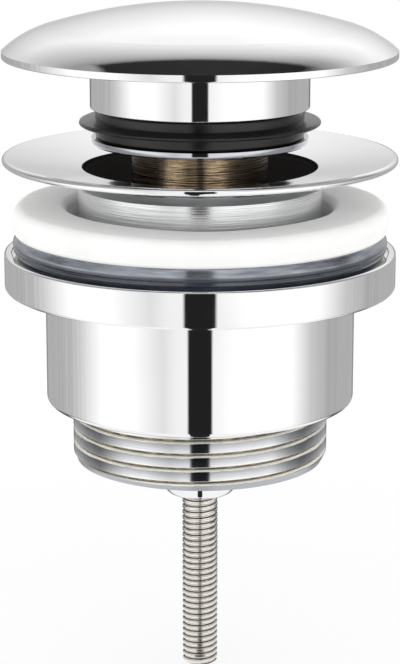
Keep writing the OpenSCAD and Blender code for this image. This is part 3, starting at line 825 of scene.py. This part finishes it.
def tent(floor_z):
    """Studio tent round the object, with a slit towards the camera: only the metal's reflections see it."""
    def uneven_top(angle, r, z):
        if z != TENT_TOP:
            return r, z
        back = min(max(2 * math.sin(angle) - 0.2, 0), 1)
        slit = -math.sin(angle) > math.cos(math.radians(TENT_SLIT + 0.5))
        return r, TENT_TOP - back * TENT_BACK_DROP + slit * TENT_SLIT_RISE

    bm = bmesh.new()
    low = floor_z + MM
    wall = [(TENT_HOLE_R, low), (TENT_R, low), (TENT_R, TENT_TOP)]
    lathe(bm, wall, closed=False, segments=TENT_SEGMENTS, shift=uneven_top)
    lathe(bm, [(TENT_R, low), (TENT_FLOOR_R, low)], closed=False, segments=TENT_SEGMENTS)
    mesh = bpy.data.meshes.new("tent")
    bm.to_mesh(mesh)
    bm.free()
    mesh.shade_smooth()
    obj = add_object("tent", mesh)
    for kind in ("camera", "diffuse", "shadow", "volume_scatter"):
        setattr(obj, "visible_" + kind, False)
    finish = Finish("tent_cloth")
    x, y, z = finish.split(finish.place)
    turn = finish.math("ARCTAN2", x, finish.math("MULTIPLY", y, -1))
    share = finish.math("ADD", finish.math("DIVIDE", turn, math.tau), 0.5)
    shade = finish.ramp(share, *((angle / 360 + 0.5, level) for angle, level in TENT_LEVELS))
    side = finish.math("ABSOLUTE", finish.math("SUBTRACT", share, 0.5), 0)
    # Fine streaks on the sides, which are also darker at the height that the thread reflects
    streaks = finish.spread(finish.noise(2.5, squeeze=(1, 1, 0), detail=4), 0.35, 0.65, 0.88, 1.1)
    streaked = finish.math_vector("SCALE", shade, scale=streaks)
    shade = finish.mix(finish.spread(side, 0.2, 0.27, 0, 1), shade, streaked)
    low_side = finish.math("MULTIPLY", finish.between(side, 0.21, 0.31), finish.spread(z, -68, -65, 0.6, 0))
    shade = finish.mix(low_side, shade, BLACK)
    # Floor of the tent with its own slit, dark at the back, and the floor outside the tent
    slit = finish.spread(y, -100, 0, 11.5, 1.5)
    off_slit = finish.math("GREATER_THAN", finish.math("ABSOLUTE", x, 0), slit)
    under = finish.mix(off_slit, TENT_UNDER_SLIT, TENT_UNDER)
    under = finish.mix(finish.spread(y, 20, 40, 0, 1), under, TENT_UNDER_BACK)
    shade = finish.mix(finish.math("LESS_THAN", z, floor_z / MM + 2), shade, under)
    outside = finish.math("GREATER_THAN", finish.radius(), TENT_R / MM + 1)
    shade = finish.mix(outside, shade, TENT_OUTSIDE)
    # Dark upper edge, apart from the front
    above = finish.math("GREATER_THAN", z, 12)
    upper_edge = finish.math("MULTIPLY", above, finish.spread(side, 0.14, 0.19, 0, 1))
    shade = finish.mix(upper_edge, shade, TENT_UPPER_EDGE)
    glow = finish.add("Emission")
    finish.link(shade, glow.inputs["Color"])
    finish.link(glow.outputs["Emission"], finish.tree.nodes["Material Output"].inputs["Surface"])
    finish.tree.nodes.remove(finish.shader)
    mesh.materials.append(finish.material)


def sky():
    """White light all round. In reflections it is a studio with bright walls and a dark ceiling."""
    world = bpy.data.worlds.new("studio")
    bpy.context.scene.world = world
    world.use_nodes = True
    nodes = Nodes(world.node_tree)
    x, y, z = nodes.split(nodes.add("TexCoord").outputs["Generated"])
    # The ceiling's edge: straight at the back, round in front, cut off on the left and right
    back = nodes.math("ADD", y, nodes.math("MULTIPLY", nodes.math("ABSOLUTE", x, 0), 0.06))
    front = nodes.math("MINIMUM", y, 0)
    across = nodes.math("MULTIPLY", x, nodes.math("MULTIPLY", x, 0.36))
    front = nodes.math("POWER", nodes.math("ADD", nodes.math("MULTIPLY", front, front), across), 0.5)
    left = nodes.spread(x, -0.45, -0.4, 0.43, 0.32)
    right = nodes.spread(x, 0.42, 0.56, 0.32, 0.46)
    edge = nodes.math("MAXIMUM", nodes.math("MAXIMUM", back, front), nodes.math("MAXIMUM", left, right))
    wall = nodes.ramp(edge, *SKY_LEVELS)
    left_shade = nodes.spread(x, -0.6, 0, 0.3, 0)
    not_back = nodes.spread(y, 0.45, 0.62, 1, 0)
    right_shade = nodes.math("MULTIPLY", nodes.spread(x, 0.2, 0.42, 0, 0.3), not_back)
    horizon = nodes.spread(z, 0.1, 0.48, 0.42, 0)
    for darkness in (left_shade, right_shade, horizon):
        wall = nodes.mix(darkness, wall, BLACK)
    glossy = nodes.add("LightPath").outputs["Is Glossy Ray"]
    nodes.link(nodes.mix(glossy, (LIGHT, LIGHT, LIGHT), wall), nodes.tree.nodes["Background"].inputs["Color"])


# The photo's camera: a 36 mm frame along the long side
CAMERA_PLACE = (0, -0.3686, 0.0631)
CAMERA_PITCH = 13.95
CAMERA_LENS = 125.3
CAMERA_FRAME = 36


def camera():
    """The scene's camera, in front of the object and a little above it."""
    data = bpy.data.cameras.new("camera")
    data.sensor_width = CAMERA_FRAME
    data.lens = CAMERA_LENS
    obj = add_object("camera", data)
    obj.location = CAMERA_PLACE
    obj.rotation_euler = (math.radians(90 - CAMERA_PITCH), 0, 0)
    bpy.context.scene.camera = obj


def paint(material, *nodes):
    """Gives CAD nodes a material."""
    for name in nodes:
        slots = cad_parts[name].data.materials
        slots.clear()
        slots.append(material)


chrome_plate, drawn_steel, black_rubber = chrome(), steel(), rubber()
paint(chrome_plate, "dome_cap", "plug_skirt")
paint(flange_chrome(), "basin_flange")
paint(turned_brass(), "cartridge_sleeve")
paint(plain_brass(), "lock_nut", "cam_block")
paint(drawn_steel, "plunger_stem", "spring_washer", "stem_clip", "latch_hook", "bush_clip", "screw_washer")
paint(black_rubber, "lip_seal", "stem_o_ring")
paint(polymer(), "cap_washer", "guide_bush")
waste_body(body_chrome())
tie_screw(bright_steel())
foam_gasket(foam())
clear_gasket(clear_plastic())
return_spring(drawn_steel)

lowest_z = cad_bounds[0][2]
floor(lowest_z)
tent(lowest_z)
sky()
camera()
bpy.context.scene.view_settings.view_transform = "Standard"
